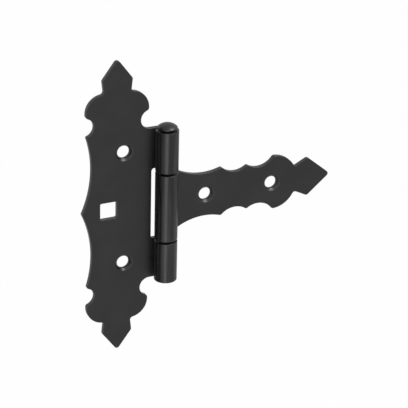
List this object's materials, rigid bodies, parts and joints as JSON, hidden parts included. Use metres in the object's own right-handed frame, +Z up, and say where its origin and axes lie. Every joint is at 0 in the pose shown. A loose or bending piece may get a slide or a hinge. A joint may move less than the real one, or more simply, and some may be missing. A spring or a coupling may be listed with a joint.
{
  "type": "decorative gate hinge",
  "caption": "Ornamental T hinge for a gate: an upright plate leaf with pointed ends and a spear-ended strap leaf turn on a headed pin through rolled knuckles.",
  "frame": {"origin": "on the plate leaf's mounting face, midway between its two screw holes", "axes": "+X towards the strap's tip, +Y out of the mounting face into the wall, +Z up along the pin, head end up"},
  "size_m": [0.1342, 0.0125, 0.153],
  "materials": {
    "plate_coat": "satin black powder coat on steel sheet",
    "strap_coat": "satin black powder coat on steel sheet",
    "pin_coat": "satin black powder coat on a steel pin"
  },
  "bodies": {
    "plate": {"plate_leaf": "plate_coat", "hinge_pin": "pin_coat"},
    "strap": {"strap_leaf": "strap_coat"}
  },
  "joints": [
    {"name": "strap_swing", "type": "hinge", "parent": "plate", "child": "strap", "pos_m": [0.0205, -0.0068, 0], "axis": [0, 0, -1], "range_deg": [-72, 189]}
  ]
}
